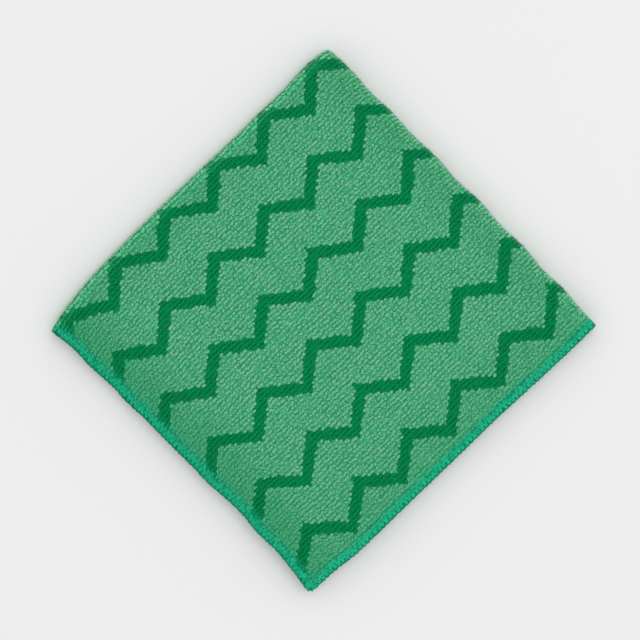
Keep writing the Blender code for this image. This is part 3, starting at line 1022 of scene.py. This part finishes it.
def make_pile(tree, group):
    """The loops on the outer face: over the top layer and under the lowest, and round both creases."""
    ribs = round(PILE_REACH / RIB_PITCH) + 2
    loops = round((PILE_REACH + REACH_ROUND_CREASE) / LOOP_PITCH)
    pieces = []
    for pile in PILES:
        loop = one_loop(pile.height, pile.width)
        material = yarn_material(pile.yarn, group)
        for where, side, seed in (("top", 1, 7), ("under", -1, 31)):
            mesh = run_tree(
                loop,
                tree,
                ribs=ribs,
                loops=loops,
                middle=((REACH_ROUND_CREASE - PILE_REACH) / 2, side * (ribs * RIB_PITCH / 2), 0.0),
                reach=PILE_REACH,
                striped=pile.striped,
                unevenness=pile.unevenness,
                seed=seed,
                material=material,
            )
            fold_flat(mesh, 1, LIT_FROM * pile.height)
            pieces.append(add_piece(f"terry_{pile.colour}_{where}", mesh))
    return pieces


def one_fibre():
    """A thin three-sided spike that bends over towards its tip."""
    shape = bmesh.new()
    rings = []
    for ring in FIBRE_RINGS:
        around = []
        for corner in range(3):
            angle = 2 * math.pi * corner / 3
            x = ring.size * FIBRE_WIDTH / 2 * math.cos(angle)
            y = ring.size * FIBRE_WIDTH / 2 * math.sin(angle) - ring.lean * FIBRE_LENGTH
            around.append(shape.verts.new((x, y, ring.up * FIBRE_LENGTH)))
        rings.append(around)
    tip = shape.verts.new((0, -FIBRE_TIP.lean * FIBRE_LENGTH, FIBRE_TIP.up * FIBRE_LENGTH))
    low, high = rings
    shape.faces.new(reversed(low))
    for i in range(3):
        j = (i + 1) % 3
        shape.faces.new([low[i], low[j], high[j], high[i]])
        shape.faces.new([high[i], high[j], tip])
    bmesh.ops.recalc_face_normals(shape, faces=shape.faces)
    return finished(shape, "one_fibre")


FUZZ_REACH = CUT_HALF - BAND - 1.0 * MM
FUZZ_ROOT = 0.28 * MM  # where a fibre starts, inside the loops
Fuzz = namedtuple("Fuzz", "count middle size")
FUZZ = (
    Fuzz(5500, (-FUZZ_REACH / 2, 0.0, FUZZ_ROOT), (FUZZ_REACH, 2 * FUZZ_REACH, 0.0)),  # the whole outer face
    Fuzz(4800, (-FUZZ_REACH / 2, 0.0, FUZZ_ROOT), (FUZZ_REACH, 5.0 * MM, 0.0)),  # round the second crease
    Fuzz(3600, (0.0, 0.0, FUZZ_ROOT), (3.0 * MM, 2 * FUZZ_REACH, 0.0)),  # round the first crease
)


def make_fuzz(tree, material):
    """Stray fibres: few over the whole outer face, and many where it turns round the creases."""
    fibre = one_fibre()
    parts = []
    for number, patch in enumerate(FUZZ):
        seed = 200 + 10 * number
        parts.append(run_tree(fibre, tree, seed=seed, material=material, **patch._asdict()))
    mesh = join_meshes("terry_fuzz", parts)
    fold_flat(mesh, 1, FIBRE_LENGTH)
    return [add_piece("terry_fuzz", mesh)]


THREAD_LENGTHS = ("near", "far", "unevenness", "far_unevenness", "width", "height", "rise", "dip")
Run = namedtuple("Run", THREAD_LENGTHS + ("tone", "rim_spread", "steps", "more_swings"))  # in millimetres
LOOPERS = (
    Run(0.6, 4.5, 0.35, 1.40, 1.30, 0.30, 0.10, 0.0, 0.7, 1.45, 4, 1),
    Run(4.3, 2.4, 0.55, 0.70, 1.15, 0.30, 0.16, 0.1, 0.7, 1.00, 3, 0),
)
NEEDLE = Run(3.7, 3.9, 0.25, 0.25, 0.80, 0.36, 0.22, 0.7, 0.6, 1.00, 3, 0)
# The thread over the rim: its low tone and low rise paint shade along the outer edge
RIM = Run(0.42, 0.60, 0.14, 0.10, 0.80, 0.80, 0.14, 0.28, 0.2, 1.00, 3, 2)
# Each thread with its face: 1 is the outer one, -1 the inner one, and 0 is over the rim
OUTER_RUNS = tuple((run, 1) for run in LOOPERS + (NEEDLE,))
INNER_RUNS = ((LOOPERS[0], -1), (NEEDLE, -1), (RIM, 0))
RISE_ONTO_PILE = 0.30 * MM
SHADE_OVER_PILE = 0.45  # how bright the thread is painted where it lies on the pile: painted shade

BAKE_STRIPS = 12  # in each overlock piece's map, one above the other
BAKE_GAP = 0.004
BAKE_INSETS = (-1.2 * MM, 6.8 * MM)  # what a strip spans across the hem
BAKE_LENGTH = 2.1 * CUT_HALF  # and along it


def make_thread_run(tree, material, run, face, quarter, seed, strip):
    """One thread along one edge of the cut cloth, in one strip of its piece's bake map."""
    lengths = {name: value * MM for name, value in zip(THREAD_LENGTHS, run)}
    mesh = run_tree(
        bpy.data.meshes.new("bare"),
        tree,
        swings=round(4 * CUT_HALF / STITCH) + run.more_swings,
        tone=run.tone + (LOWER_HEM_TONE if quarter == 2 else 0.0),
        rim_spread=run.rim_spread,
        steps=run.steps,
        seed=seed,
        material=material,
        **lengths,
    )
    along, inset, height = coordinates(mesh).T
    low, high = BAKE_INSETS
    across = np.clip((inset - low) / (high - low), 0.0, 1.0)
    up = strip / BAKE_STRIPS + BAKE_GAP + (1 / BAKE_STRIPS - 2 * BAKE_GAP) * across
    bake_places = np.stack([along / BAKE_LENGTH + 0.5, up], axis=-1)
    turn = math.pi / 2 * quarter
    u = along * math.cos(turn) - (inset - CUT_HALF) * math.sin(turn)
    v = along * math.sin(turn) + (inset - CUT_HALF) * math.cos(turn)
    if face:
        over_pile = RISE_ONTO_PILE * ramp(inset, 4.0 * MM, 5.5 * MM)
        mesh.vertices.foreach_set("co", np.stack([u, v, height + over_pile], axis=-1).ravel())
        # painted shade: the thread darker where it lies on the pile and right at the rim, through its rise
        shade = mix(1.0, SHADE_OVER_PILE, ramp(inset, 1.8 * MM, 5.0 * MM))
        shade = np.maximum(shade * ramp(inset, 0.2 * MM, 1.2 * MM), 0.01)
        fold_flat(mesh, face, (run.rise + 0.3 * run.height) * MM / shade, bake_places)
    else:
        mark_flat(mesh, np.stack([u, v], axis=-1), bake_places)
        # painted shade: the thread over the rim darker towards its outer edge
        mark(mesh, "rise", mix(0.10, 0.40, ramp(inset, 0.0, 0.8 * MM)))
        mesh.vertices.foreach_set("co", fold(u, v, height).ravel())
    return mesh


def make_overlock(tree, material):
    """The thread round all four edges of the cut cloth, on both faces and over the rim."""
    pieces = []
    for name, runs in (("overlock_outer", OUTER_RUNS), ("overlock_inner", INNER_RUNS)):
        parts = []
        for number, (run, face) in enumerate(runs):
            for quarter in range(4):
                strip = 4 * number + quarter
                seed = 100 * (face + 2) + 3 * strip  # each thread has three random draws
                parts.append(make_thread_run(tree, material, run, face, quarter, seed, strip))
        pieces.append(add_piece(name, join_meshes(name, parts)))
    return pieces


# -------- stage


def make_floor():
    shape = bmesh.new()
    bmesh.ops.create_grid(shape, x_segments=1, y_segments=1, size=3.0)
    mesh = finished(shape, "floor")
    looks = {"Base Color": (0.80, 0.80, 0.80, 1), "Roughness": 0.9, "Specular IOR Level": 0.1}
    mesh.materials.append(new_material("floor", looks)[0])
    floor = new_object("floor", mesh)
    floor.location.z = -0.2 * MM


def make_light(name, place, size, power):
    light = bpy.data.lights.new(name, "AREA")
    light.shape = "DISK"
    light.size = size
    light.energy = power
    lamp = new_object(name, light)
    lamp.location = place
    lamp.rotation_euler = (-lamp.location).to_track_quat("-Z", "Y").to_euler()


def make_stage():
    """A pale floor, a large soft box above and an even dome."""
    make_floor()
    make_light("soft_box", (0.7, -0.3, 3.0), size=2.6, power=24.5)
    world = bpy.data.worlds.new("studio")
    world.use_nodes = True
    sky = world.node_tree.nodes["Background"]
    sky.inputs["Color"].default_value = (1.0, 1.0, 1.0, 1)
    sky.inputs["Strength"].default_value = 0.86
    scene = bpy.context.scene
    scene.world = world
    scene.view_settings.view_transform = "Standard"
    scene.view_settings.look = "None"
    scene.view_settings.exposure = 0.0
    scene.view_settings.gamma = 1.0


def make_camera():
    """Straight above the cloth, turned so that +X points to the photograph's upper right."""
    camera = bpy.data.cameras.new("camera")
    camera.sensor_width = 36.0
    width = PIXELS / PIXELS_PER_MM * MM
    camera.lens = camera.sensor_width * CAMERA_HEIGHT / width
    right = (PIXELS / 2 - CLOTH_MIDDLE_PX[0]) / PIXELS_PER_MM * MM
    up = (CLOTH_MIDDLE_PX[1] - PIXELS / 2) / PIXELS_PER_MM * MM
    camera.clip_start = 0.05
    camera.clip_end = 20.0
    holder = new_object("camera", camera)
    holder.location = ((right + up) / math.sqrt(2), (up - right) / math.sqrt(2), CAMERA_HEIGHT)
    holder.rotation_euler = (0.0, 0.0, CAMERA_ROLL)
    bpy.context.scene.camera = holder


make_camera()
make_stage()
yarn = yarn_group()
sheet = make_sheet(ground_material(yarn))
pile = make_pile(pile_tree(), yarn)
fuzz = make_fuzz(fibre_tree(), fibre_material())
overlock = make_overlock(thread_tree(), yarn_material(OVERLOCK_YARN, yarn))
